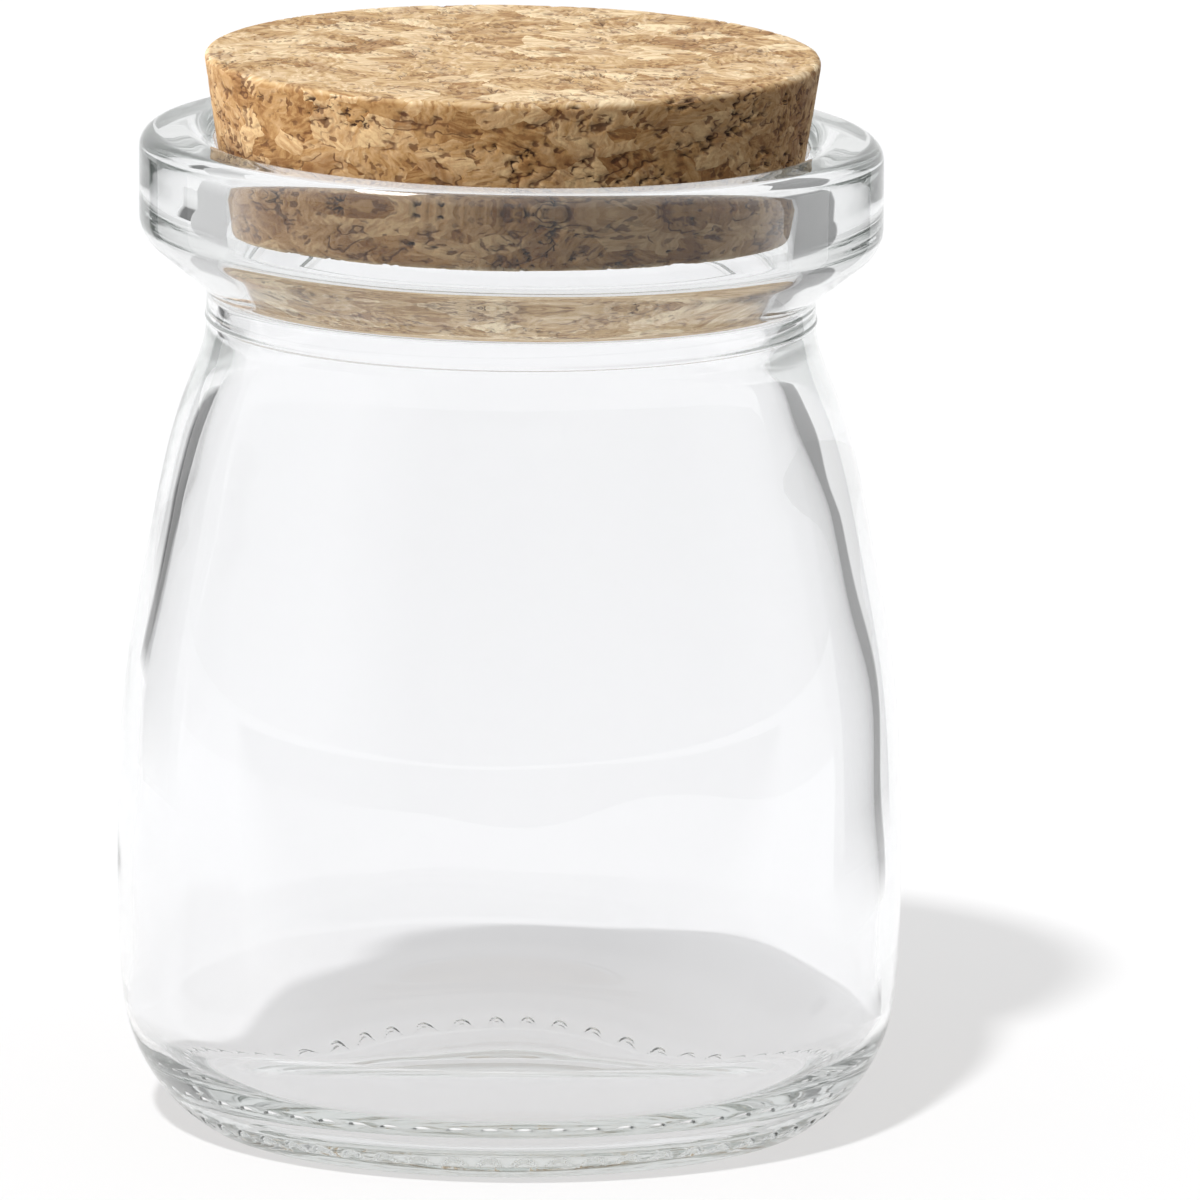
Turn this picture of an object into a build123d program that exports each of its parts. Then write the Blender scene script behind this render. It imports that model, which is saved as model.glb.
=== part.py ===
from build123d import *
import math
import os

# Glass jar with a tapered cork stopper. Millimetres, +Z up.
# The origin is the centre of the jar's foot, in the plane that it stands on.

# Outside of the glass
jar_height = 73.6
belly_radius = 29.0
belly_height = 20.0
neck_radius = 22.45
neck_straight = 2.0

# Shoulder: heights from belly to neck, and radii from neck to belly
shoulder_height_shares = (0.31, 0.61, 0.86)
shoulder_radius_shares = (0.924, 0.62, 0.235)

# Lip: a thick rolled bead that hangs out over the neck
lip_overhang = 4.95
lip_height = 11.6
lip_band_height = 7.6
lip_root_round = 1.3
lip_under_round = 2.8
lip_crest_round = 2.8
mouth_round = 2.4

# Bore: the plunger's draft widens it upwards
neck_wall = 1.75
bore_draft = 1.1

# Mould line round the neck, where the lip's ring mould met the body mould
mould_line_width = 0.5
mould_line_rise = 0.12

# Heel and foot, from the belly inwards: two rounds, a flat ring and a push-up
belly_swell = 0.5
heel_round = 12.0
heel_turn = 82.0
foot_round = 1.5
foot_turn = 33.0
ring_width = 2.1
push_up = 2.0

# Inside of the glass
wall = 1.6
shoulder_wall_shares = (1.36, 1.75, 1.56)
floor_height = 3.8
floor_dip = 0.6
inner_heel_round = 6.0

# Knurl round the heel: small arches that keep the hot glass off the conveyor
knurl_count = 60
knurl_turn = 44.0
knurl_chord = 1.7
knurl_bow = 0.8
knurl_width = 0.42
knurl_depth = 0.18
knurl_overrun = 0.8

# Cork stopper: a truncated cone that wedges in the mouth
cork_height = 12.4
cork_proud = 6.0
cork_taper_share = 0.152
cork_clearance = 0.06
cork_top_round = 0.5
cork_bottom_round = 0.6

# Radii and heights that follow from the sizes above
lip_radius = neck_radius + lip_overhang
bore_end_radius = neck_radius - neck_wall
mouth_radius = bore_end_radius + bore_draft
neck_height = jar_height - lip_height - neck_straight
foot_reach = foot_round * math.sin(math.radians(foot_turn))
heel_reach = heel_round * (math.sin(math.radians(heel_turn)) - math.sin(math.radians(foot_turn)))
ring_outer_radius = belly_radius - belly_swell - heel_reach - foot_reach
ring_inner_radius = ring_outer_radius - ring_width


def outer_shoulder():
    """Points of the outside between the belly and the neck, from below."""
    rise = neck_height - belly_height
    spread = belly_radius - neck_radius
    shares = zip(shoulder_height_shares, shoulder_radius_shares)
    return [(neck_radius + spread * r, belly_height + rise * h) for h, r in shares]


def inner_shoulder():
    """The same points, moved in by the thickness that the glass has there."""
    points = zip(outer_shoulder(), shoulder_wall_shares)
    return [(r - wall * share, height) for (r, height), share in points]


def outside_lines():
    """Foot ring, heel, belly, shoulder, mould line and lip, out to the mouth."""
    mould_half = mould_line_width / 2
    belly = (belly_radius, belly_height)
    neck = (neck_radius, neck_height - mould_half)
    TangentArc((0, push_up), (ring_inner_radius, 0), tangent=(1, 0))
    ring = Line((ring_inner_radius, 0), (ring_outer_radius, 0))
    foot = JernArc(ring @ 1, (1, 0), foot_round, foot_turn)
    heel = JernArc(foot @ 1, foot % 1, heel_round, heel_turn - foot_turn)
    Spline(heel @ 1, belly, *outer_shoulder(), neck, tangents=(heel % 1, (0, 1)))
    over_line = (neck_radius, neck_height + mould_half)
    ThreePointArc(neck, (neck_radius + mould_line_rise, neck_height), over_line)
    FilletPolyline(
        over_line,
        (neck_radius, jar_height - lip_height),
        (lip_radius, jar_height - lip_band_height),
        (lip_radius, jar_height),
        (mouth_radius, jar_height),
        (bore_end_radius, neck_height),
        radius=(lip_root_round, lip_under_round, lip_crest_round, mouth_round),
    )


def inside_lines():
    """Inner shoulder and belly, rounded heel and the gently domed floor."""
    bore_end = (bore_end_radius, neck_height)
    draft = (bore_end_radius - mouth_radius, neck_height - jar_height)
    inner_radius = belly_radius - wall
    floor_low = floor_height - floor_dip
    heel_top = (inner_radius, floor_low + inner_heel_round)
    shoulder = reversed(inner_shoulder())
    Spline(bore_end, *shoulder, heel_top, tangents=(draft, (0, -1)))
    heel = JernArc(heel_top, (0, -1), inner_heel_round, -90)
    Spline(heel @ 1, (0, floor_height), tangents=((-1, 0), (-1, 0)))
    Line((0, floor_height), (0, push_up))


def heel_point(depth):
    """Where the knurl sits on the +X side, this far under the heel's surface."""
    turn = math.radians(knurl_turn)
    start = math.radians(foot_turn)
    heel_rise = heel_round * (math.cos(start) - math.cos(turn))
    radius = ring_outer_radius + foot_reach + heel_round * (math.sin(turn) - math.sin(start))
    height = foot_round * (1 - math.cos(start)) + heel_rise
    return (radius - depth * math.sin(turn), 0, height + depth * math.cos(turn))


def knurl_mark():
    """One arch on the +X side: its ends point down to the foot, its bow up the heel."""
    turn = math.radians(knurl_turn)
    outwards = (math.sin(turn), 0, -math.cos(turn))
    half_chord = knurl_chord / 2
    base = -knurl_bow / 2
    with BuildPart() as mark:
        with BuildSketch(Plane(origin=heel_point(knurl_depth), x_dir=(0, 1, 0), z_dir=outwards)):
            with BuildLine():
                ThreePointArc((-half_chord, base), (0, base + knurl_bow), (half_chord, base))
                inner_top = base + knurl_bow - knurl_width
                ThreePointArc((-half_chord, base), (0, inner_top), (half_chord, base))
            make_face()
        extrude(amount=knurl_overrun)
    return mark.part


def glass_jar():
    """The blown jar: one wall turned about Z, with the knurl cut in its heel."""
    mark = knurl_mark()
    half_pitch = 180 / knurl_count
    with BuildPart() as jar:
        with BuildSketch(Plane.XZ):
            with BuildLine():
                outside_lines()
                inside_lines()
            make_face()
        revolve(axis=Axis.Z)
        with PolarLocations(0, knurl_count, start_angle=half_pitch):
            add(mark, mode=Mode.SUBTRACT)
    return jar.part


def cork_stopper():
    """The stopper, sized where it wedges: at the lower end of the mouth's round."""
    seat_height = jar_height - mouth_round
    draft_share = (mouth_radius - bore_end_radius) / (jar_height - neck_height)
    seat_radius = mouth_radius - mouth_round * draft_share - cork_clearance
    top = jar_height + cork_proud
    bottom = top - cork_height
    top_radius = seat_radius + cork_taper_share * (top - seat_height)
    bottom_radius = top_radius - cork_taper_share * cork_height
    with BuildPart() as cork:
        with BuildSketch(Plane.XZ):
            with BuildLine():
                FilletPolyline(
                    (0, bottom),
                    (bottom_radius, bottom),
                    (top_radius, top),
                    (0, top),
                    radius=(cork_bottom_round, cork_top_round),
                )
                Line((0, top), (0, bottom))
            make_face()
        revolve(axis=Axis.Z)
    print("cork radii", round(bottom_radius, 2), round(top_radius, 2), "top at", round(top, 2))
    return cork.part


os.makedirs("parts", exist_ok=True)
export_step(glass_jar(), "parts/glass_jar.step")
export_step(cork_stopper(), "parts/cork_stopper.step")
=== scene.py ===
# %% [markdown]
# A small dessert jar of clear pressed glass, closed by a stopper of ground cork. The packed
# part is the fixed frame: its boxes give the sizes here, and nothing in it is moved. Both
# pieces are rebuilt with finer meshes, because glass shows every facet of its shape through
# refraction, and cork is nothing without its crevices.

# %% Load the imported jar
import math

import bpy
import numpy as np
from mathutils import Matrix, Vector


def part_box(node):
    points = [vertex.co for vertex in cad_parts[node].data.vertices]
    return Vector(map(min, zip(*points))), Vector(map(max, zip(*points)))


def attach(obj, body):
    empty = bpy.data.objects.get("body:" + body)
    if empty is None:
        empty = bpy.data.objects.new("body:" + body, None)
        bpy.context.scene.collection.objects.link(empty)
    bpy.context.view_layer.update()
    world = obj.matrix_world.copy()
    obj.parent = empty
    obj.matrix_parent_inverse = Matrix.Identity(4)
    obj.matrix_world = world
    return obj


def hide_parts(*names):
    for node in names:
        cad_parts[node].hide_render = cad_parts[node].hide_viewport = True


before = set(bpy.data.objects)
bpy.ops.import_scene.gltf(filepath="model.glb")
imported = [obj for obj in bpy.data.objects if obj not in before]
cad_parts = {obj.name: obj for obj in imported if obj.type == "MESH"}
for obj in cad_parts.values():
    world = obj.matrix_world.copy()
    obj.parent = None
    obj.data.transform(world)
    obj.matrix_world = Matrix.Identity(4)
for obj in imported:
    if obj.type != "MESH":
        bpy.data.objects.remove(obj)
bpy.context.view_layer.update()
jar_low, jar_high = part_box("glass_jar")
cork_low, cork_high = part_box("cork_stopper")
MM = 0.001
print("jar box in mm:", [round(v / MM, 2) for v in (*jar_low, *jar_high)])
print("cork box in mm:", [round(v / MM, 2) for v in (*cork_low, *cork_high)])

# %% [markdown]
# The camera comes first, so that every later step can be looked at from the right place. The
# picture was taken with a long lens from about 1.4 metres, a little above the jar.
# A far camera with a long lens keeps the upright sides parallel. The jar stands left of the
# middle, so the camera slides sideways instead of turning, which leaves the ellipses alike.

# %% Camera
camera_distance = 1412 * MM
camera_elevation = math.radians(10.94)
camera_roll = math.radians(0.24)
camera_target = Vector((0, 0, 40.35 * MM))
camera_slide_right = 6.63 * MM
camera_slide_up = -1.64 * MM
camera_lens = 573.6
camera_sees_from = 0.05
camera_sees_to = 50

camera_back = Vector((0, -math.cos(camera_elevation), math.sin(camera_elevation)))
camera_up = Vector((0, math.sin(camera_elevation), math.cos(camera_elevation)))
camera = bpy.data.objects.new("camera", bpy.data.cameras.new("camera"))
camera.data.lens = camera_lens
camera.data.clip_start = camera_sees_from
camera.data.clip_end = camera_sees_to
camera.location = camera_target + camera_back * camera_distance
camera.location += Vector((1, 0, 0)) * camera_slide_right + camera_up * camera_slide_up
turn = camera_back.to_track_quat("Z", "Y").to_matrix() @ Matrix.Rotation(camera_roll, 3, "Z")
camera.rotation_euler = turn.to_euler()
bpy.context.scene.collection.objects.link(camera)
bpy.context.scene.camera = camera
print("camera stands at", [round(v, 3) for v in camera.location])

# %% [markdown]
# The glass is one wall turned about the jar's axis. It could be a Screw modifier on a drawn
# curve, but the line has to have points close together where it bends tightly and few where
# it runs on, so it is worked out here as a list of points. Three small functions draw it: a
# run that turns on a circle, a line with rounded corners, and a smooth line through a few
# points.

# %% Three ways to draw a line
def turned(start, heading, radius, degrees, spacing):
    """Points on a circle that leaves start in a heading, and turns left if degrees is above 0."""
    start, heading = np.array(start, float), np.array(heading, float)
    side = np.array((-heading[1], heading[0])) * math.copysign(1, degrees)
    centre = start + side * radius
    count = max(3, math.ceil(radius * math.radians(abs(degrees)) / spacing))
    angle = np.linspace(0, math.radians(degrees), count + 1)[:, None]
    spoke = start - centre
    across = np.array((-spoke[1], spoke[0]))
    return centre + spoke * np.cos(angle) + across * np.sin(angle)


def heading_after(heading, degrees):
    """A heading once it has turned left by so many degrees."""
    c, s = math.cos(math.radians(degrees)), math.sin(math.radians(degrees))
    return np.array((heading[0] * c - heading[1] * s, heading[0] * s + heading[1] * c))


def run(start, end, spacing):
    """Evenly spaced points on a straight line."""
    count = max(1, math.ceil(math.dist(start, end) / spacing))
    return np.linspace(start, end, count + 1)


def rounded(points, radii, spacing, spacing_in_bends):
    """A line through points, with each inner corner turned into an arc of its radius."""
    points = [np.array(p, float) for p in points]
    line = [points[0][None]]
    at = points[0]
    for before, corner, after, radius in zip(points, points[1:], points[2:], radii):
        come = (corner - before) / np.linalg.norm(corner - before)
        go = (after - corner) / np.linalg.norm(after - corner)
        bend = math.atan2(come[0] * go[1] - come[1] * go[0], come @ go)
        start = corner - come * radius * math.tan(abs(bend) / 2)
        line.append(run(at, start, spacing)[1:])
        arc = turned(start, come, radius, math.degrees(bend), spacing_in_bends)
        line.append(arc[1:])
        at = arc[-1]
    line.append(run(at, points[-1], spacing)[1:])
    return np.concatenate(line)


def flowing(points, first, last, spacing):
    """A smooth line through points that leaves in heading first and ends in heading last."""
    points = np.array(points, float)
    gap = np.linalg.norm(np.diff(points, axis=0), axis=1)
    rows = np.eye(len(points))
    right = np.zeros_like(points)
    right[0], right[-1] = first, last
    for i in range(1, len(points) - 1):
        rows[i, i - 1] = 1 / gap[i - 1]
        rows[i, i] = 2 / gap[i - 1] + 2 / gap[i]
        rows[i, i + 1] = 1 / gap[i]
        slope_in = (points[i] - points[i - 1]) / gap[i - 1] ** 2
        slope_out = (points[i + 1] - points[i]) / gap[i] ** 2
        right[i] = 3 * (slope_in + slope_out)
    slope = np.linalg.solve(rows, right)
    line = [points[:1]]
    for i, length in enumerate(gap):
        t = np.linspace(0, 1, max(2, math.ceil(length / spacing)) + 1)[1:, None]
        line.append(
            points[i] * (2 * t**3 - 3 * t**2 + 1)
            + points[i + 1] * (3 * t**2 - 2 * t**3)
            + slope[i] * length * (t**3 - 2 * t**2 + t)
            + slope[i + 1] * length * (t**3 - t**2)
        )
    return np.concatenate(line)


# %% [markdown]
# The sizes of the wall, in millimetres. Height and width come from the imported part. The rest
# are the sizes that such a jar is drawn with: a pushed-up foot with a flat ring, a heel of
# two rounds, a belly, an S-shaped shoulder, a straight neck with a mould line, and a thick
# lip that hangs out over it. The lip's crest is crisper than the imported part's: a softer one
# would bend the overhead light into a broad white band, and hide the cork under it.

# %% Sizes of the glass
jar_height = jar_high.z / MM
belly_radius = jar_high.x / MM
belly_height = 20.0
neck_radius = 22.45
neck_height = 60.0
shoulder_height_shares = (0.31, 0.61, 0.86)
shoulder_radius_shares = (0.924, 0.62, 0.235)
lip_radius = 27.4
lip_height = 11.6
lip_band_height = 7.6
lip_root_round = 1.3
lip_under_round = 2.8
lip_crest_round = 1.4
mouth_round = 2.4
mouth_radius = 21.8
bore_end_radius = 20.7
mould_line_width = 0.5
mould_line_rise = 0.12
belly_swell = 0.5
heel_round = 12.0
heel_turn = 82.0
foot_round = 1.5
foot_turn = 33.0
ring_width = 2.1
push_up = 2.0
wall = 1.6
shoulder_wall_shares = (1.2, 1.6, 1.75)
bore_waist = (20.55, 57.3)
floor_height = 3.8
floor_dip = 0.6
inner_heel_round = 6.0
foot_reach = foot_round * math.sin(math.radians(foot_turn))
heel_reach = heel_round * (math.sin(math.radians(heel_turn)) - math.sin(math.radians(foot_turn)))
ring_outer_radius = belly_radius - belly_swell - heel_reach - foot_reach
ring_inner_radius = ring_outer_radius - ring_width
print("foot ring in mm:", round(ring_inner_radius, 2), "to", round(ring_outer_radius, 2))

# %% [markdown]
# The outside is one line from the middle of the foot, over the heel, the belly and the
# shoulder, round the lip and down into the mouth. Each part leaves in the heading in which the
# last one ended, as pressed glass does. The points are close together in the rounds and in
# the knurled part of the heel, and further apart on the long, slow curves.

# %% Outside of the glass, from the foot up over the lip
wide_step = 0.95
lip_step = 0.85
ring_step = 0.7
heel_step = 0.5
low_heel_step = 0.4
round_step = 0.24
knurl_step = 0.12
knurl_turn = 44.0
knurl_turn_each_way = 4
mould_line_steps = 8


def shoulder(thickness_shares):
    """Points between the belly and the neck, moved in by a share of the wall each."""
    rise, spread = neck_height - belly_height, belly_radius - neck_radius
    shares = zip(shoulder_height_shares, shoulder_radius_shares, thickness_shares)
    return [(neck_radius + spread * r - wall * w, belly_height + rise * h) for h, r, w in shares]


push_up_radius = (ring_inner_radius**2 + push_up**2) / (2 * push_up)
push_up_turn = -2 * math.degrees(math.atan(push_up / ring_inner_radius))
foot_line = turned((0, push_up), (1, 0), push_up_radius, push_up_turn, wide_step)
ring_line = run((ring_inner_radius, 0), (ring_outer_radius, 0), ring_step)
round_line = turned(ring_line[-1], (1, 0), foot_round, foot_turn, round_step)
heel_heading = heading_after((1, 0), foot_turn)
knurl_from, knurl_to = knurl_turn - knurl_turn_each_way, knurl_turn + knurl_turn_each_way
heel_start = turned(round_line[-1], heel_heading, heel_round, knurl_from - foot_turn, low_heel_step)
knurl_heading = heading_after((1, 0), knurl_from)
knurl_line = turned(heel_start[-1], knurl_heading, heel_round, knurl_to - knurl_from, knurl_step)
upper_heading = heading_after((1, 0), knurl_to)
heel_end = turned(knurl_line[-1], upper_heading, heel_round, heel_turn - knurl_to, heel_step)
heel_line = np.concatenate([heel_start, knurl_line[1:], heel_end[1:]])
belly_heading = heading_after((1, 0), heel_turn)
belly_line = flowing(
    [
        heel_line[-1],
        (belly_radius, belly_height),
        *shoulder((0, 0, 0)),
        (neck_radius, neck_height - mould_line_width / 2),
    ],
    belly_heading,
    (0, 1),
    wide_step,
)
mould_share = np.linspace(-1, 1, mould_line_steps + 1)[1:]
mould_line = np.column_stack(
    (
        neck_radius + mould_line_rise * np.cos(mould_share * math.pi / 2) ** 2,
        neck_height + mould_share * mould_line_width / 2,
    )
)
lip_line = rounded(
    [
        mould_line[-1],
        (neck_radius, jar_height - lip_height),
        (lip_radius, jar_height - lip_band_height),
        (lip_radius, jar_height),
        (mouth_radius, jar_height),
        (bore_end_radius, neck_height),
    ],
    (lip_root_round, lip_under_round, lip_crest_round, mouth_round),
    lip_step,
    round_step,
)
outside = np.concatenate(
    [foot_line, ring_line[1:], round_line[1:], heel_line[1:], belly_line[1:], mould_line, lip_line[1:]]
)
# each line begins at the point where the last one ended
first_knurl_point = len(foot_line) + len(ring_line) + len(round_line) + len(heel_start) - 3
last_knurl_point = first_knurl_point + len(knurl_line) - 1
print("outside points:", len(outside))

# %% [markdown]
# A plunger and blown air made the inside, so it doesn't copy the outside. The wall is thin at
# the belly and gets thicker in the shoulder, and the bore is narrowest just under the neck.
# That change of thickness draws the dark streaks along the shoulder's edges.

# %% Inside of the glass, from the bore down to the middle of the floor
inner_radius = belly_radius - wall
floor_low = floor_height - floor_dip
draft = np.array((bore_end_radius - mouth_radius, neck_height - jar_height))
draft /= np.linalg.norm(draft)
inner_heel_top = (inner_radius, floor_low + inner_heel_round)
inner_belly_line = flowing(
    [
        (bore_end_radius, neck_height),
        bore_waist,
        *reversed(shoulder(shoulder_wall_shares)),
        inner_heel_top,
    ],
    draft,
    (0, -1),
    wide_step,
)
inner_heel_line = turned(inner_heel_top, (0, -1), inner_heel_round, -90, heel_step)
floor_line = flowing([inner_heel_line[-1], (0, floor_height)], (-1, 0), (-1, 0), wide_step)
inside = np.concatenate([inner_belly_line[1:], inner_heel_line[1:], floor_line[1:]])
section = np.concatenate([outside, inside])
print("points round the section:", len(section))

# %% [markdown]
# The section is turned by hand into a mesh, ring by ring. The knurl needs a finer division
# than the rest of the wall: 60 small arches, drawn with a line of half a millimetre. So the
# rings in that part of the heel have three times the points, and one row at each side steps
# between the two divisions.

# %% Turn the section into a mesh
knurl_count = 60
steps_per_knurl = 5
coarse = knurl_count * steps_per_knurl
finer = 3
on_axis_below = 1e-6


def ring_size(radius, is_fine):
    """How many points a ring has: one on the axis, and three times as many if it is fine."""
    return 1 if radius < on_axis_below else coarse * (finer if is_fine else 1)


def turn_section(line, fine):
    """Vertices and faces of a line turned about Z. fine says which points get a finer ring."""
    rings, vertices, faces = [], [], []
    for (radius, height), is_fine in zip(line, fine):
        count = ring_size(radius, is_fine)
        angle = np.arange(count) * 2 * math.pi / count
        ring = np.column_stack((radius * np.cos(angle), radius * np.sin(angle), np.full(count, height)))
        rings.append(np.arange(count) + sum(len(v) for v in vertices))
        vertices.append(ring)
    for low, high in zip(rings, rings[1:]):
        low_next, high_next = np.roll(low, -1), np.roll(high, -1)
        if len(low) == 1:
            faces += [(low[0], b, a) for a, b in zip(high, high_next)]
        elif len(high) == 1:
            faces += [(a, b, high[0]) for a, b in zip(low, low_next)]
        elif len(low) == len(high):
            faces += list(zip(low, low_next, high_next, high))
        elif len(low) < len(high):
            for a, b, first in zip(low, low_next, range(0, len(high), finer)):
                c = [high[(first + i) % len(high)] for i in range(finer + 1)]
                faces += [(a, c[1], c[0]), (a, b, c[2], c[1]), (b, c[3], c[2])]
        else:
            for a, b, first in zip(high, high_next, range(0, len(low), finer)):
                c = [low[(first + i) % len(low)] for i in range(finer + 1)]
                faces += [(a, c[0], c[1]), (a, c[1], c[2], b), (b, c[2], c[3])]
    return np.concatenate(vertices), faces


fine = (np.arange(len(section)) >= first_knurl_point) & (np.arange(len(section)) < last_knurl_point)
ring_sizes = [ring_size(r, f) for r, f in zip(section[:, 0], fine)]
glass_points, glass_faces = turn_section(section, fine)
print("glass:", len(glass_points), "vertices,", len(glass_faces), "faces")

# %% [markdown]
# The knurl keeps the hot base off the conveyor. Each mark is a small arch pressed into the
# rounded heel. A Boolean cut would leave knife edges that pressed glass never has, so the
# marks are pushed into the mesh instead, with soft sides.

# %% Knurl round the heel
knurl_chord = 1.7
knurl_bow = 0.8
knurl_width = 0.42
knurl_depth = 0.32
knurl_least_width_share = 0.2
knurl_side_shares = (0.4, 1.25)


def smooth_share(value, low, high):
    """0 below low, 1 above high, with a soft passage between them."""
    share = np.clip((value - low) / (high - low), 0, 1)
    return share * share * (3 - 2 * share)


radius = np.hypot(glass_points[:, 0], glass_points[:, 1])
angle = np.arctan2(glass_points[:, 1], glass_points[:, 0])
pitch = 2 * math.pi / knurl_count
across = ((angle / pitch) % 1 - 0.5) * pitch * radius
centre = knurl_line[len(knurl_line) // 2]
heel_slope = np.array(heading_after((1, 0), knurl_turn))
up_heel = (radius - centre[0]) * heel_slope[0] + (glass_points[:, 2] - centre[1]) * heel_slope[1]
reach = across / (knurl_chord / 2)
arch = knurl_bow * (1 - reach**2) - knurl_bow / 2 - knurl_width / 2
half_width = knurl_width / 2 * np.clip(1 - reach**2, knurl_least_width_share, 1)
off_line = np.abs(up_heel - arch) / half_width
in_rows = np.repeat(fine, ring_sizes)
is_mark = in_rows & (np.abs(reach) < 1)
depth = knurl_depth * (1 - smooth_share(off_line, *knurl_side_shares)) * is_mark
inwards = np.array((-heel_slope[1], heel_slope[0]))
glass_points[:, :2] *= (1 + depth * inwards[0] / np.maximum(radius, 1))[:, None]
glass_points[:, 2] += depth * inwards[1]
print("deepest knurl mark in mm:", round(float(depth.max()), 2))

# %% [markdown]
# No pressed jar is true. Here the lip ring sits about one degree off square, falling to the
# right, and the mould line half as much. The inside was shaped by air and a plunger, so it
# sits a few tenths of a millimetre to the left, and waves by a few hundredths, which is what
# makes edges seen through it swim. Each pair of heights or radii says where a fault begins and
# where it is full.

# %% The small faults of a pressed jar
lip_tilt = math.radians(1.0)
mould_line_tilt = math.radians(0.42)
tilt_begins = 45.0
lip_tilt_rise = 3
inner_wave_height = 0.035
inner_wave_fades = (76, 62)
outer_wave_height = 0.008
outer_wave_fades = (0.3, 6)
wave_fades_at_axis = (0.5, 6)
belly_off_centre = 0.2
belly_off_centre_fades = (10, 30)
neck_off_centre_more = 0.3
neck_off_centre_fades = (46, 52)
bore_off_centre_fades = (64, 56)
bore_points = 12


def tilt_at(height):
    """How far a level of the jar leans, as the drop per millimetre to the right."""
    to_line = smooth_share(height, tilt_begins, neck_height)
    to_lip = smooth_share(height, neck_height, neck_height + lip_tilt_rise)
    return math.tan(mould_line_tilt) * to_line + math.tan(lip_tilt - mould_line_tilt) * to_lip


def waves(points, count, longest, shortest, seed):
    """A sum of slow waves in random directions, between about -1 and 1."""
    chance = np.random.RandomState(seed)
    total = np.zeros(len(points))
    for length in np.geomspace(longest, shortest, count):
        direction = chance.normal(size=3)
        direction /= np.linalg.norm(direction)
        total += np.sin(points @ direction * 2 * math.pi / length + chance.uniform(0, 2 * math.pi))
    return total / math.sqrt(count)


ring_of = np.repeat(np.arange(len(section)), ring_sizes)
is_inside = ring_of > len(outside) - bore_points
glass_height = glass_points[:, 2]
inner_wave = inner_wave_height * waves(glass_points, count=9, longest=40, shortest=9, seed=4)
outer_wave = outer_wave_height * waves(glass_points, count=7, longest=45, shortest=14, seed=9)
inner_wave *= smooth_share(glass_height, *inner_wave_fades)
outer_wave *= smooth_share(glass_height, *outer_wave_fades)
shift = np.where(is_inside, inner_wave, outer_wave) * smooth_share(radius, *wave_fades_at_axis)
glass_points[:, :2] *= (1 - shift / np.maximum(radius, 1))[:, None]
off_centre = belly_off_centre + neck_off_centre_more * smooth_share(glass_height, *neck_off_centre_fades)
off_centre *= smooth_share(glass_height, *belly_off_centre_fades)
off_centre *= smooth_share(glass_height, *bore_off_centre_fades)
glass_points[is_inside, 0] -= off_centre[is_inside]
glass_points[:, 2] -= glass_points[:, 0] * tilt_at(glass_height)
print("lip drops by mm:", round(2 * lip_radius * math.tan(lip_tilt), 2))

# %% [markdown]
# Both pieces reach Blender as points and faces that are worked out beforehand. Smooth shading
# is all they need, because the rings are close together wherever the line bends.

# %% A piece from points and faces
def piece_from(name, points_mm, faces):
    """A smooth-shaded mesh object in the scene, from points in millimetres."""
    mesh = bpy.data.meshes.new(name)
    mesh.from_pydata((points_mm * MM).tolist(), [], [[int(i) for i in f] for f in faces])
    mesh.validate()
    mesh.shade_smooth()
    made = bpy.data.objects.new(name, mesh)
    bpy.context.scene.collection.objects.link(made)
    return made


glass = piece_from("glass_jar_body", glass_points, glass_faces)
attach(glass, "jar")
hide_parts("glass_jar")
print(glass.name, "has", len(glass.data.polygons), "faces")

# %% [markdown]
# The cork is a truncated cone, ground from a block of pressed granules. Its side is a sleeve
# of rows, and each flat end is a square net of quads pressed into a disc, so the granules
# get as many points in the middle of the disc as at the rim.

# %% Cork blank
cork_top = cork_high.z / MM
cork_bottom = cork_low.z / MM
cork_top_radius = cork_high.x / MM
cork_taper = 0.152
cork_bottom_radius = cork_top_radius - cork_taper * (cork_top - cork_bottom)
cork_top_round = 0.5
cork_bottom_round = 0.6
cork_step = 0.23
cork_round_step = 0.15
net = 150
net_inset_at_bottom = 1.0
net_inset_at_top = 0.9


def disc_net(count, radius, height, up):
    """A square net of count by count quads pressed into a disc, and its rim in order."""
    u, v = np.meshgrid(np.linspace(-1, 1, count + 1), np.linspace(-1, 1, count + 1), indexing="ij")
    reach = np.maximum(np.abs(u), np.abs(v))
    wide = np.abs(u) > np.abs(v)
    safe_u, safe_v = np.where(u == 0, 1, u), np.where(v == 0, 1, v)
    turn_a = math.pi / 4 * v / safe_u + np.where(u < 0, math.pi, 0)
    turn_b = math.pi / 2 - math.pi / 4 * u / safe_v + np.where(v < 0, math.pi, 0)
    turn_by = np.where(wide, turn_a, turn_b)
    points = np.stack((reach * np.cos(turn_by), reach * np.sin(turn_by)), -1) * radius
    points = np.concatenate((points, np.full(points.shape[:2] + (1,), height)), -1).reshape(-1, 3)
    index = np.arange((count + 1) ** 2).reshape(count + 1, count + 1)
    quads = np.stack((index[:-1, :-1], index[1:, :-1], index[1:, 1:], index[:-1, 1:]), -1).reshape(-1, 4)
    quads = quads if up else quads[:, ::-1]
    rim = np.concatenate((index[-1, :-1], index[::-1, -1][:-1], index[0, ::-1][:-1], index[:, 0][:-1]))
    rim = np.roll(rim, -(count // 2))
    return points, quads, rim


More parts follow.
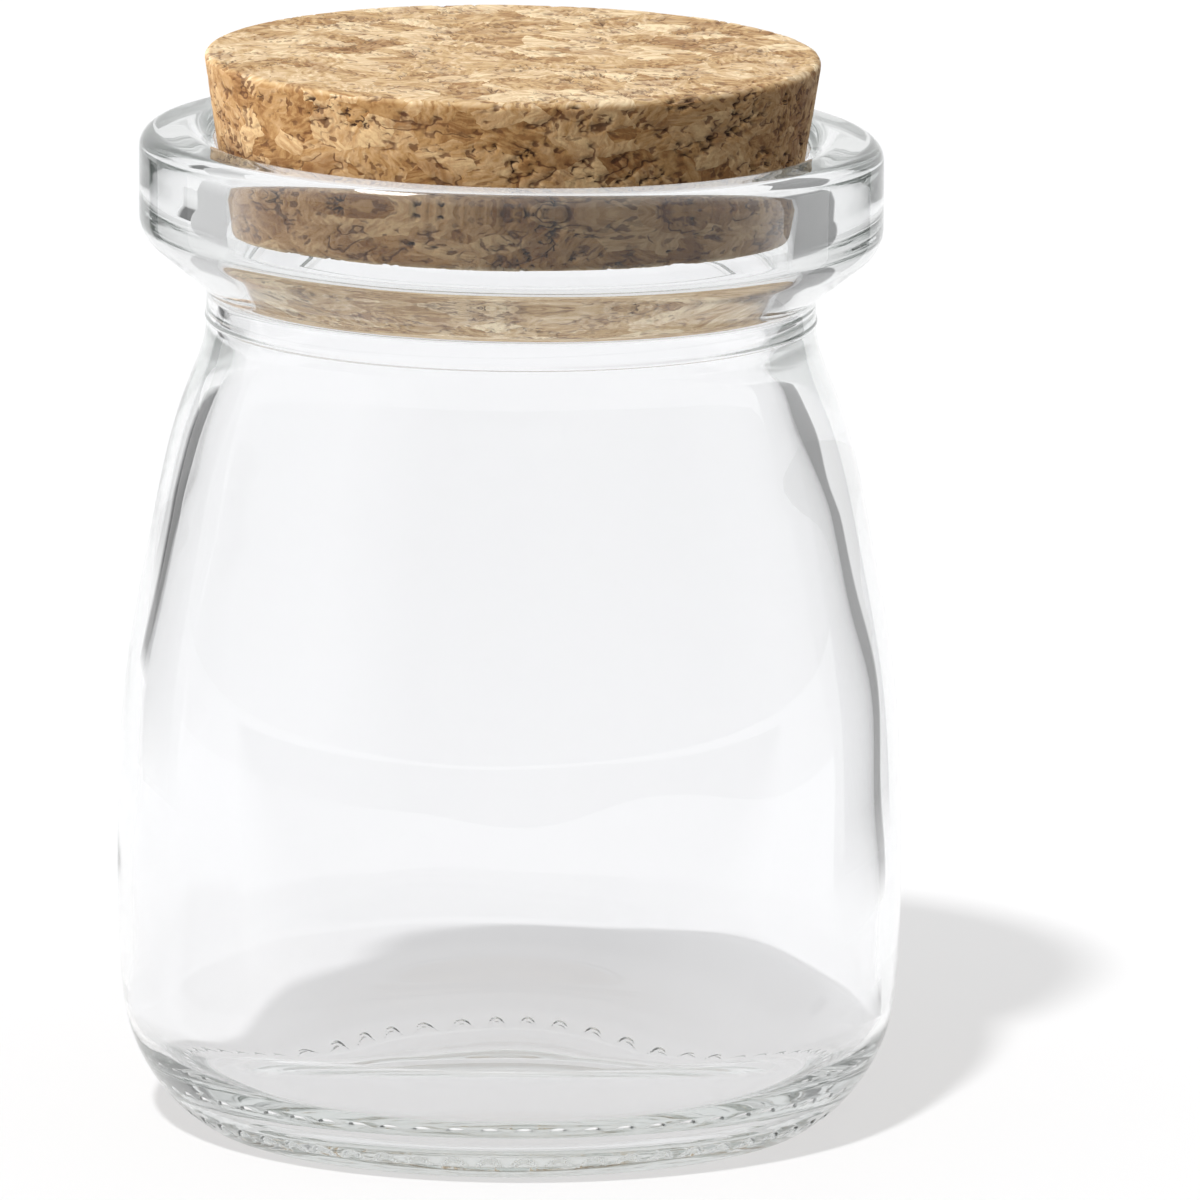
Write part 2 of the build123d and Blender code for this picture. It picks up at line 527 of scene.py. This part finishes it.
side_line = rounded(
    [(0, cork_bottom), (cork_bottom_radius, cork_bottom), (cork_top_radius, cork_top), (0, cork_top)],
    (cork_bottom_round, cork_top_round),
    cork_step,
    cork_round_step,
)
low_rim = np.argmax(side_line[:, 0] > cork_bottom_radius - net_inset_at_bottom)
high_rim = len(side_line) - 1 - np.argmax(side_line[::-1, 0] > cork_top_radius - net_inset_at_top)
sleeve_line = side_line[low_rim : high_rim + 1]
low_points, low_quads, low_ring = disc_net(net, sleeve_line[0, 0], cork_bottom, False)
high_points, high_quads, high_ring = disc_net(net, sleeve_line[-1, 0], cork_top, True)
around = np.arctan2(low_points[low_ring, 1], low_points[low_ring, 0])
sleeve = [
    np.column_stack((r * np.cos(around), r * np.sin(around), np.full(len(around), h)))
    for r, h in sleeve_line[1:-1]
]
cork_points = np.concatenate([low_points, high_points, *sleeve])
rings = [low_ring]
rings += [np.arange(4 * net) + len(low_points) + len(high_points) + 4 * net * i for i in range(len(sleeve))]
rings += [high_ring + len(low_points)]
cork_faces = [*low_quads, *(high_quads + len(low_points))]
for low, high in zip(rings, rings[1:]):
    cork_faces += list(np.column_stack((low, np.roll(low, -1), np.roll(high, -1), high)))
cork = piece_from("cork_stopper_body", cork_points, cork_faces)
print("cork blank:", len(cork_points), "vertices,", len(cork_faces), "faces")

# %% [markdown]
# Colours are written as sRGB hex values, as a colour picker gives them, and one function
# turns them to the linear values that Blender works in. Another small function adds a node,
# sets it and feeds its inputs, so that a material reads as a list of steps.

# %% Helpers for materials
def linear(hex_colour):
    """An sRGB hex colour as linear red, green, blue and alpha."""
    parts = [int(hex_colour[i : i + 2], 16) / 255 for i in (1, 3, 5)]
    return (*(c / 12.92 if c <= 0.04045 else ((c + 0.055) / 1.055) ** 2.4 for c in parts), 1)


def add(tree, kind, feeds=None, **settings):
    """Adds a node, sets its properties, and feeds its inputs with sockets or plain values."""
    node = tree.nodes.new(kind)
    for name, value in settings.items():
        setattr(node, name, value)
    for key, value in (feeds or {}).items():
        if isinstance(value, bpy.types.NodeSocket):
            tree.links.new(value, node.inputs[key])
        else:
            node.inputs[key].default_value = value
    return node


def new_material(name):
    """An empty node material, with its tree."""
    material = bpy.data.materials.new(name)
    material.use_nodes = True
    material.node_tree.nodes.clear()
    return material, material.node_tree

# %% [markdown]
# Ground cork is granules of bark, two to four millimetres across, pressed together with a
# little binder. Each granule was cut another way through the bark, so each has its own shade
# and its own direction of growth lines. Between them are seams, some open, and here and there
# a hard brown bit of outer bark or a small round hole. The block was pressed from above, so
# everything in it lies flatter than it is wide. One function draws all of this as nodes. It
# works in a shader tree and in a geometry tree alike, so the same seams that are dark in the
# colour are also cut into the mesh. Sizes are in millimetres, and each pair of shares says
# where a mark begins to show and where it is full.

# %% Pattern of the granules
flattening = 1.7
drift_size = 1.9
drift_reach = 1.3
granule_size = 3.0
any_turn = 6.28
layer_size = 1.1
layer_stretch = (1.0, 0.42, 3.2)
fleck_spacing = 1.1
fleck_bend_size = 0.9
fleck_bend_reach = 1.1
fleck_stretch = (0.5, 0.85, 1.9)
fleck_edge_shares = (0.42, 0.3)
fleck_chance_shares = (0.45, 0.75)
stroke_spacing = 2.6
stroke_edge_shares = (0.028, 0.011)
stroke_patch_size = 3.1
stroke_patch_shares = (0.48, 0.55)
stroke_patch_place = (31.0, 17.0, 5.0)
skin_shares = (0.53, 0.66)
crevice_spacing = 1.9
crevice_place = (7.0, 53.0, 29.0)
crevice_edge_shares = (0.034, 0.012)
crevice_patch_size = 4.5
crevice_patch_shares = (0.54, 0.61)
tear_size = 0.8
tear_shares = (0.46, 0.53)
hole_spacing = 1.9
hole_edge_shares = (0.17, 0.09)
hole_chance_shares = (0.7, 0.72)


def cork_pattern(tree, at):
    """Sockets that say, for a point in millimetres, what the cork is like there."""

    def noise(size, place, detail=2.0):
        return add(tree, "ShaderNodeTexNoise", {"Vector": place, "Scale": 1 / size, "Detail": detail})

    def cells(size, place):
        return add(tree, "ShaderNodeTexVoronoi", {"Vector": place, "Scale": 1 / size})

    def vector(operation, *feeds):
        return add(tree, "ShaderNodeVectorMath", dict(enumerate(feeds)), operation=operation).outputs

    def maths(operation, *feeds):
        return add(tree, "ShaderNodeMath", dict(enumerate(feeds)), operation=operation).outputs[0]

    def ramp(value, low, high):
        return add(tree, "ShaderNodeMapRange", {"Value": value, "From Min": low, "From Max": high}).outputs[0]

    def middle_lines(size, place, detail):
        return maths("ABSOLUTE", maths("SUBTRACT", noise(size, place, detail).outputs[0], 0.5))

    at = vector("MULTIPLY", at, (1.0, 1.0, flattening))[0]
    drift = noise(drift_size, at, detail=3.0).outputs["Color"]
    warped = vector("MULTIPLY_ADD", drift, (drift_reach,) * 3, at)[0]
    granule = cells(granule_size, warped)
    random_turn = vector("MULTIPLY", granule.outputs["Color"], (any_turn,) * 3)[0]
    turned_at = add(
        tree, "ShaderNodeVectorRotate", {"Vector": warped, "Rotation": random_turn}, rotation_type="EULER_XYZ"
    ).outputs[0]
    # long thin marks that follow the bark's layers inside each granule
    flat = vector("MULTIPLY", turned_at, layer_stretch)[0]
    layers = noise(layer_size, flat, detail=5.0).outputs[0]
    bend = noise(fleck_bend_size, at).outputs["Color"]
    bent = vector("MULTIPLY_ADD", bend, (fleck_bend_reach,) * 3, turned_at)[0]
    fleck = cells(fleck_spacing, vector("MULTIPLY", bent, fleck_stretch)[0])
    fleck_shape = ramp(fleck.outputs["Distance"], *fleck_edge_shares)
    fleck_chance = add(tree, "ShaderNodeSeparateXYZ", {0: fleck.outputs["Color"]})
    fleck_real = ramp(fleck_chance.outputs[0], *fleck_chance_shares)
    flecks = maths("MULTIPLY", fleck_shape, fleck_real)
    # curved strokes where a hard skin of outer bark was caught edge-on
    skin = middle_lines(stroke_spacing, at, detail=2.0)
    where = noise(stroke_patch_size, vector("ADD", at, stroke_patch_place)[0]).outputs[0]
    strokes = maths("MULTIPLY", ramp(skin, *stroke_edge_shares), ramp(where, *stroke_patch_shares))
    # crevices between granules, open only in places
    seam = middle_lines(crevice_spacing, vector("ADD", at, crevice_place)[0], detail=3.0)
    patches = noise(crevice_patch_size, at).outputs[0]
    torn = noise(tear_size, at).outputs[0]
    crack = maths("MULTIPLY", ramp(seam, *crevice_edge_shares), ramp(patches, *crevice_patch_shares))
    crack = maths("MULTIPLY", crack, ramp(torn, *tear_shares))
    # small round holes
    hole = cells(hole_spacing, warped)
    hole_chance = add(tree, "ShaderNodeSeparateXYZ", {0: hole.outputs["Color"]})
    hole_shape = ramp(hole.outputs["Distance"], *hole_edge_shares)
    pit = maths("MULTIPLY", hole_shape, ramp(hole_chance.outputs[0], *hole_chance_shares))
    tone = add(tree, "ShaderNodeSeparateXYZ", {0: granule.outputs["Color"]})
    return {
        "tone": tone.outputs[0],
        "layers": layers,
        "skin": ramp(where, *skin_shares),
        "line": flecks,
        "stroke": strokes,
        "crack": crack,
        "pit": pit,
    }


# %% [markdown]
# The relief could be a Displace modifier with a texture, but the old textures don't match the
# shader's. Geometry nodes have the very same noise as the shader, so the relief is a small
# geometry tree. It reads the blank's own millimetre coordinates, kept on the mesh before it
# was tilted or dented, and moves each point along its normal.

# %% Relief cut into the cork
crack_depth = 0.3
stroke_depth = 0.14
pit_depth = 0.3
line_depth = 0.08
granule_step = 0.05

grain = cork.data.attributes.new("grain_mm", "FLOAT_VECTOR", "POINT")
grain.data.foreach_set("vector", cork_points.astype(np.float32).ravel())
relief = bpy.data.node_groups.new("cork_relief", "GeometryNodeTree")
relief.interface.new_socket("Geometry", in_out="INPUT", socket_type="NodeSocketGeometry")
relief.interface.new_socket("Geometry", in_out="OUTPUT", socket_type="NodeSocketGeometry")
come = add(relief, "NodeGroupInput")
at = add(relief, "GeometryNodeInputNamedAttribute", {"Name": "grain_mm"}, data_type="FLOAT_VECTOR")
found = cork_pattern(relief, at.outputs[0])
height = add(relief, "ShaderNodeMath", {0: found["tone"], 1: granule_step}, operation="MULTIPLY").outputs[0]
for name, cut in (
    ("crack", crack_depth),
    ("stroke", stroke_depth),
    ("pit", pit_depth),
    ("line", line_depth),
):
    cut_from = {0: found[name], 1: -cut, 2: height}
    height = add(relief, "ShaderNodeMath", cut_from, operation="MULTIPLY_ADD").outputs[0]
height = add(relief, "ShaderNodeMath", {0: height, 1: granule_step}, operation="SUBTRACT").outputs[0]
height = add(relief, "ShaderNodeMath", {0: height, 1: MM}, operation="MULTIPLY").outputs[0]
normal = add(relief, "GeometryNodeInputNormal")
offset = add(relief, "ShaderNodeVectorMath", {0: normal.outputs[0], "Scale": height}, operation="SCALE")
moved = add(relief, "GeometryNodeSetPosition", {"Geometry": come.outputs[0], "Offset": offset.outputs[0]})
add(relief, "NodeGroupOutput", {0: moved.outputs[0]})
cutter = cork.modifiers.new("relief", "NODES")
cutter.node_group = relief
cut_mesh = bpy.data.meshes.new_from_object(cork.evaluated_get(bpy.context.evaluated_depsgraph_get()))
cork.modifiers.clear()
cork.data = cut_mesh
print("cork relief: deepest crack in mm", crack_depth)

# %% [markdown]
# A cork that is pushed in by hand is never quite level. This one leans about half a degree to
# the right, round the height at which it wedges in the mouth.

# %% The cork sits a little askew
cork_tilt = math.radians(0.6)
seat_height = jar_height - mouth_round
seat = Vector((0, 0, seat_height * MM))
askew = Matrix.Translation(seat) @ Matrix.Rotation(cork_tilt, 4, "Y") @ Matrix.Translation(-seat)
cork.data.transform(askew)
cork.data.shade_smooth()
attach(cork, "lid")
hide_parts("cork_stopper")

# %% [markdown]
# The colour of the cork follows the pattern that cut its relief. Each granule has its own tan,
# streaked along the bark's layers. Over it lie brown bits of outer bark, short dark flecks and
# curved strokes. Crevices and holes are painted near black, as painted shade in these recesses.
# The flat ends are paler and their marks weaker: partly because they were sanded after the side,
# and partly as a painted sheen for the grazing light that the top catches. Cork has no gloss at
# all: it is rough, with a fine grain as bump.

# %% Agglomerated cork
layers_share = 0.72
cork_tones = ((0.32, "#8a6138"), (0.44, "#a98253"), (0.56, "#b8946a"), (0.68, "#ccac7f"))
# the lift that pales the flat ends is partly sanding and partly a painted sheen for the grazing light on the
# top
sanded_and_sheen_lift = (1.28, 1.51, 1.88, 1)
sanded_and_sheen_mark_share = 0.75
sanded_and_sheen_from_end = 0.2
ground_from_end = 0.45
fine_grain_size = 0.25
fine_grain_depth = 0.1 * MM

agglomerated_cork, tree = new_material("agglomerated_cork")
at = add(tree, "ShaderNodeAttribute", attribute_name="grain_mm").outputs["Vector"]
found = cork_pattern(tree, at)
heights = add(tree, "ShaderNodeSeparateXYZ", {0: at}).outputs[2]
from_middle = add(
    tree, "ShaderNodeMath", {0: heights, 1: (cork_top + cork_bottom) / 2}, operation="SUBTRACT"
).outputs[0]
from_middle = add(tree, "ShaderNodeMath", {0: from_middle}, operation="ABSOLUTE").outputs[0]
half_height = (cork_top - cork_bottom) / 2
sanded_and_sheen = {
    "Value": from_middle,
    "From Min": half_height - ground_from_end,
    "From Max": half_height - sanded_and_sheen_from_end,
}
sanded_and_sheen = add(tree, "ShaderNodeMapRange", sanded_and_sheen).outputs[0]
mark_strength = add(
    tree, "ShaderNodeMapRange", {"Value": sanded_and_sheen, "To Min": 1.0, "To Max": sanded_and_sheen_mark_share}
).outputs[0]
shade = add(tree, "ShaderNodeMix", {0: layers_share, 2: found["tone"], 3: found["layers"]}).outputs[0]
tones = add(tree, "ShaderNodeValToRGB", {0: shade})
stops = tones.color_ramp.elements
stops.remove(stops[1])
stops[0].position = cork_tones[0][0]
stops[0].color = linear(cork_tones[0][1])
for position, hex_colour in cork_tones[1:]:
    stops.new(position).color = linear(hex_colour)
colour = tones.outputs[0]
# crack and pit get a near-black colour: painted shade, for the shade that falls in these recesses
for name, share, hex_colour in (
    ("skin", 0.45, "#79502f"),
    ("line", 0.75, "#5f3b23"),
    ("stroke", 0.75, "#4f2d1c"),
    ("crack", 0.9, "#38211a"),
    ("pit", 0.9, "#38211a"),
):
    amount = add(tree, "ShaderNodeMath", {0: found[name], 1: share}, operation="MULTIPLY").outputs[0]
    amount = add(tree, "ShaderNodeMath", {0: amount, 1: mark_strength}, operation="MULTIPLY").outputs[0]
    colour = add(
        tree, "ShaderNodeMix", {0: amount, 6: colour, 7: linear(hex_colour)}, data_type="RGBA"
    ).outputs[2]
# the flat ends are made paler here: partly sanding, partly a painted sheen for the grazing light on the top
sanding_and_sheen = {0: sanded_and_sheen, 6: colour, 7: sanded_and_sheen_lift}
colour = add(tree, "ShaderNodeMix", sanding_and_sheen, data_type="RGBA", blend_type="MULTIPLY").outputs[2]
fine_grain = {"Vector": at, "Scale": 1 / fine_grain_size, "Detail": 2.0}
fine_grain = add(tree, "ShaderNodeTexNoise", fine_grain).outputs[0]
bump = add(tree, "ShaderNodeBump", {"Strength": 0.5, "Distance": fine_grain_depth, "Height": fine_grain})
shader = add(
    tree,
    "ShaderNodeBsdfPrincipled",
    {"Base Color": colour, "Roughness": 0.8, "Specular IOR Level": 0.3, "Normal": bump.outputs[0]},
)
add(tree, "ShaderNodeOutputMaterial", {"Surface": shader.outputs[0]})
cork.data.materials.append(agglomerated_cork)
print("cork material nodes:", len(tree.nodes))

# %% [markdown]
# Clear container glass. Its index of refraction, 1.52, bends the room into the bright and dark
# lines by which a clear jar is seen at all. A weak grey-green absorption shows only where the
# eye looks through a lot of glass: in the lip, in the heel and along the edges. The skin is
# fire-polished, so it has no roughness. The glass is hidden from light that the floor and the
# cork scatter, because without caustics it would only cast a false dark shade on them.

# %% Soda-lime glass
soda_lime_glass, tree = new_material("soda_lime_glass")
# a jar that has been handled loses a little light at each surface
handled_skin = (0.983, 0.984, 0.99, 1)
glass_tint = "#b0bbb5"
glass_tint_density = 10.0
shader = add(
    tree,
    "ShaderNodeBsdfPrincipled",
    {"Base Color": handled_skin, "Roughness": 0.0, "IOR": 1.52, "Transmission Weight": 1.0},
)
tint = {"Color": linear(glass_tint), "Density": glass_tint_density}
tint = add(tree, "ShaderNodeVolumeAbsorption", tint)
add(tree, "ShaderNodeOutputMaterial", {"Surface": shader.outputs[0], "Volume": tint.outputs[0]})
glass.data.materials.append(soda_lime_glass)
glass.visible_diffuse = False

# %% [markdown]
# A sheet of white paper, far larger than the picture. It lies a tenth of a millimetre under
# the foot, because two surfaces in the same place confuse the light that passes the glass.

# %% Floor
floor_half = 12.0
floor_gap = 0.1 * MM
paper_white = (0.885, 0.885, 0.89, 1)
floor_mesh = bpy.data.meshes.new("floor")
corners = [(x * floor_half, y * floor_half, -floor_gap) for x, y in ((-1, -1), (1, -1), (1, 1), (-1, 1))]
floor_mesh.from_pydata(corners, [], [(0, 1, 2, 3)])
floor = bpy.data.objects.new("floor", floor_mesh)
bpy.context.scene.collection.objects.link(floor)
floor.visible_diffuse = False
floor.visible_shadow = False
white_paper, tree = new_material("white_paper")
paper = {"Base Color": paper_white, "Roughness": 0.9, "Specular IOR Level": 0.1}
shader = add(tree, "ShaderNodeBsdfPrincipled", paper)
add(tree, "ShaderNodeOutputMaterial", {"Surface": shader.outputs[0]})
floor_mesh.materials.append(white_paper)

# %% [markdown]
# One lamp stands in front of the jar, up on the left. It lights the top of the cork and throws
# the short shadow to the right. It is kept out of what is seen in and through the glass,
# where it would burn white spots into the lip.

# %% Key light
sun_strength = 1.27
sun_azimuth = math.radians(-18)
sun_elevation = math.radians(52)
sun_width = math.radians(4)


def direction(azimuth, elevation):
    """A vector of length 1, from angles to the right of straight in front and up."""
    return Vector(
        (
            math.sin(azimuth) * math.cos(elevation),
            -math.cos(azimuth) * math.cos(elevation),
            math.sin(elevation),
        )
    )


def facing(away):
    """The rotation that turns the back of a lamp or sheet in a direction."""
    return away.to_track_quat("Z", "Y").to_euler()


sun = bpy.data.objects.new("key", bpy.data.lights.new("key", "SUN"))
sun.data.energy = sun_strength
sun.data.angle = sun_width
sun.rotation_euler = facing(direction(sun_azimuth, sun_elevation))
sun.visible_transmission = False
sun.visible_glossy = False
bpy.context.scene.collection.objects.link(sun)

# %% [markdown]
# Clear glass shows only what stands round it, so the room matters more than any lamp. It is
# drawn as light by direction: bright overhead and behind, half as bright at the sides, and
# dark in front, where the camera stands.

# %% The room round the jar
overhead_light = 1.05
back_light = 0.92
left_light = 0.62
right_light = 0.5
front_light = 0.14
front_right_light = 0.18
overhead_shares = (0.5, 0.75)

world = bpy.data.worlds.new("studio")
world.use_nodes = True
tree = world.node_tree
tree.nodes.clear()
toward = add(tree, "ShaderNodeTexCoord").outputs["Generated"]
parts = add(tree, "ShaderNodeSeparateXYZ", {0: toward})
sideways, forwards, upwards = parts.outputs
bearing = add(tree, "ShaderNodeMath", {0: sideways, 1: forwards}, operation="ARCTAN2").outputs[0]
light = front_light
# each wall of the room: its bearing in degrees to the right of straight behind, and its light
for start, end, strength in (
    (-150, -120, left_light),
    (-80, -60, back_light),
    (45, 60, right_light),
    (85, 115, front_right_light),
    (160, 178, front_light),
):
    share = add(
        tree,
        "ShaderNodeMapRange",
        {"Value": bearing, "From Min": math.radians(start), "From Max": math.radians(end)},
    ).outputs[0]
    light = add(tree, "ShaderNodeMix", {0: share, 2: light, 3: strength}).outputs[0]
overhead = {"Value": upwards, "From Min": overhead_shares[0], "From Max": overhead_shares[1]}
up = add(tree, "ShaderNodeMapRange", overhead).outputs[0]
light = add(tree, "ShaderNodeMix", {0: up, 2: light, 3: overhead_light}).outputs[0]
background = add(tree, "ShaderNodeBackground", {"Color": (1, 1, 1, 1), "Strength": light})
add(tree, "ShaderNodeOutputWorld", {"Surface": background.outputs[0]})
bpy.context.scene.world = world

# %% [markdown]
# Photographers put cards beside clear glass to give it an outline. Three of them stand behind
# this jar, hidden from the camera: a dark one that draws the streak on the left of the
# shoulder, a pale one beyond it, and a grey one on the right. Sheets of this kind shine by
# themselves, each point with its own strength, so that their edges can be soft.

# %% Dark cards that draw the edges of the glass
card_distance = 120 * MM
card_columns = 12


def stage_sheet(name, points, faces):
    """A sheet near the jar that shows in the glass, and is hidden from camera and floor."""
    mesh = bpy.data.meshes.new(name)
    mesh.from_pydata(points, [], faces)
    made = bpy.data.objects.new(name, mesh)
    bpy.context.scene.collection.objects.link(made)
    made.visible_camera = False
    made.visible_diffuse = False
    made.visible_shadow = False
    return made


def let_shine(sheet, glow):
    """Paint that shines with one strength, or with a list of them, one for each point."""
    paint, tree = new_material(sheet.name)
    if isinstance(glow, list):
        sheet.data.attributes.new("glow", "FLOAT", "POINT").data.foreach_set("value", glow)
        glow = add(tree, "ShaderNodeAttribute", attribute_name="glow").outputs["Fac"]
    emission = add(tree, "ShaderNodeEmission", {"Color": (1, 1, 1, 1), "Strength": glow})
    add(tree, "ShaderNodeOutputMaterial", {"Surface": emission.outputs[0]})
    sheet.data.materials.append(paint)


def card(name, near, far, low, high, soft_side, soft_foot, lean, brightness):
    """A curved card between two bearings, in degrees to the right of straight behind.

    Its near side and its foot fade into the bright room, over soft_side degrees and soft_foot
    metres. At its top the near side leans away by lean degrees.
    """
    away = math.copysign(1, far - near)
    columns = np.concatenate(((near,), np.linspace(near + away * soft_side, far, card_columns)))
    across = len(columns)
    points, glow = [], []
    for row, height in enumerate((low, low + soft_foot, high)):
        shift = away * lean * (height - low) / (high - low)
        turn = np.radians(columns + shift * (far - columns) / (far - near))
        edge = np.column_stack((np.sin(turn), np.cos(turn), np.full(across, height / card_distance)))
        points.append(edge * card_distance)
        glow += [1.0] + [brightness if row else 1.0] * (across - 1)
    quads = [
        (i, i + 1, i + 1 + across, i + across)
        for i in range(2 * across - 1)
        if (i + 1) % across
    ]
    made = stage_sheet(name, np.concatenate(points).tolist(), quads)
    let_shine(made, glow)


card(
    "card_left",
    near=-40.5,
    far=-50.5,
    low=31 * MM,
    high=60 * MM,
    soft_side=3.0,
    soft_foot=5 * MM,
    lean=0,
    brightness=0.12,
)
card(
    "card_far_left",
    near=-50.5,
    far=-72,
    low=10 * MM,
    high=110 * MM,
    soft_side=0.5,
    soft_foot=20 * MM,
    lean=0,
    brightness=0.62,
)
card(
    "card_right",
    near=41.3,
    far=75,
    low=0.5 * MM,
    high=110 * MM,
    soft_side=1.5,
    soft_foot=6 * MM,
    lean=6.6,
    brightness=0.3,
)

# %% [markdown]
# The front of the jar would mirror the white floor before it, and a grey veil would lie over
# the cork inside the lip. A dark sheet on the floor, just out of the picture, takes that veil
# away. It is seen in reflections only, and its edge is soft, so that no line shows in the jar:
# it is as bright as paper 35 mm in front of the jar's middle, and dark from 90 mm on.

# %% Dark sheet on the floor in front
sheet_half_width = 1.5
sheet_rows = ((-35 * MM, 1.0), (-90 * MM, 0.15), (-3.0, 0.15))
sheet_lift = 0.2 * MM
sheet_points = [(x, y, sheet_lift) for y, _ in sheet_rows for x in (-sheet_half_width, sheet_half_width)]
sheet_glow = [strength for _, strength in sheet_rows for _ in range(2)]
sheet = stage_sheet("dark_sheet", sheet_points, [(2, 3, 1, 0), (4, 5, 3, 2)])
sheet.visible_transmission = False
let_shine(sheet, sheet_glow)

# %% [markdown]
# The cork is brightest at its left and darkens to the right, as it does beside a broad soft
# box. Seen in the glass such a lamp would burn out the whole edge, so it lights the cork
# alone.

# %% Soft box on the left
soft_box_size = 1.0
soft_box_distance = 0.9
soft_box_azimuth = math.radians(-72)
soft_box_elevation = math.radians(8)
soft_box_power = 12.0
soft_box = bpy.data.objects.new("soft_box", bpy.data.lights.new("soft_box", "AREA"))
soft_box.data.shape = "SQUARE"
soft_box.data.size = soft_box_size
soft_box.data.energy = soft_box_power
soft_box_from = direction(soft_box_azimuth, soft_box_elevation)
soft_box.location = soft_box_from * soft_box_distance
soft_box.location.z += jar_height * MM
soft_box.rotation_euler = facing(soft_box_from)
soft_box.visible_camera = False
soft_box.visible_glossy = False
soft_box.visible_transmission = False
bpy.context.scene.collection.objects.link(soft_box)
lit_by_box = bpy.data.collections.new("lit_by_soft_box")
lit_by_box.objects.link(cork)
soft_box.light_linking.receiver_collection = lit_by_box

# %% [markdown]
# The one clear highlight is a short white dash on the crest of the lip, left of the middle.
# Worked back through the curve of the crest, it shows a lamp panel almost overhead. The panel
# here is seen in reflections only, and lights nothing.

# %% Panel above, for the highlight on the lip
panel_from = Vector((-0.28, 0.11, 0.947)).normalized()
panel_distance = 0.9
panel_width = 0.36
panel_depth = 0.14
panel_light = 16.0
panel_corners = [
    (x * panel_width / 2, y * panel_depth / 2, 0) for x, y in ((-1, -1), (1, -1), (1, 1), (-1, 1))
]
panel = stage_sheet("panel", panel_corners, [(0, 1, 2, 3)])
panel.location = panel_from * panel_distance
panel.rotation_euler = facing(panel_from)
panel.visible_transmission = False
let_shine(panel, panel_light)

# %% [markdown]
# In a real jar the white floor throws its light up through the glass, onto the underside of
# the cork. Without caustics that light doesn't arrive, so a small cool lamp in the shoulder
# stands in for it.

# %% Light from inside the jar
inner_glow_size = 24 * MM
inner_glow_height = 46 * MM
inner_glow_power = 0.0035
inner_glow_colour = (0.9, 1.0, 1.15)
inner_glow = bpy.data.objects.new("inner_glow", bpy.data.lights.new("inner_glow", "AREA"))
inner_glow.data.shape = "DISK"
inner_glow.data.size = inner_glow_size
inner_glow.data.energy = inner_glow_power
inner_glow.data.color = inner_glow_colour
inner_glow.location = (0, 0, inner_glow_height)
inner_glow.rotation_euler = (math.pi, 0, 0)
inner_glow.visible_camera = False
inner_glow.visible_glossy = False
inner_glow.visible_transmission = False
bpy.context.scene.collection.objects.link(inner_glow)

# %% [markdown]
# The plain display curve keeps white paper white. Light crosses the glass many times before it
# gets out of the lip or the heel, so it is followed for forty bounces.

# %% How the picture is developed
bounces_in_glass = 40
scene = bpy.context.scene
scene.view_settings.view_transform = "Standard"
scene.view_settings.look = "None"
scene.cycles.max_bounces = bounces_in_glass
scene.cycles.transmission_bounces = bounces_in_glass
scene.cycles.glossy_bounces = bounces_in_glass
scene.cycles.diffuse_bounces = 4
scene.cycles.transparent_max_bounces = 8
scene.cycles.use_denoising = True
scene.cycles.sample_clamp_indirect = 4
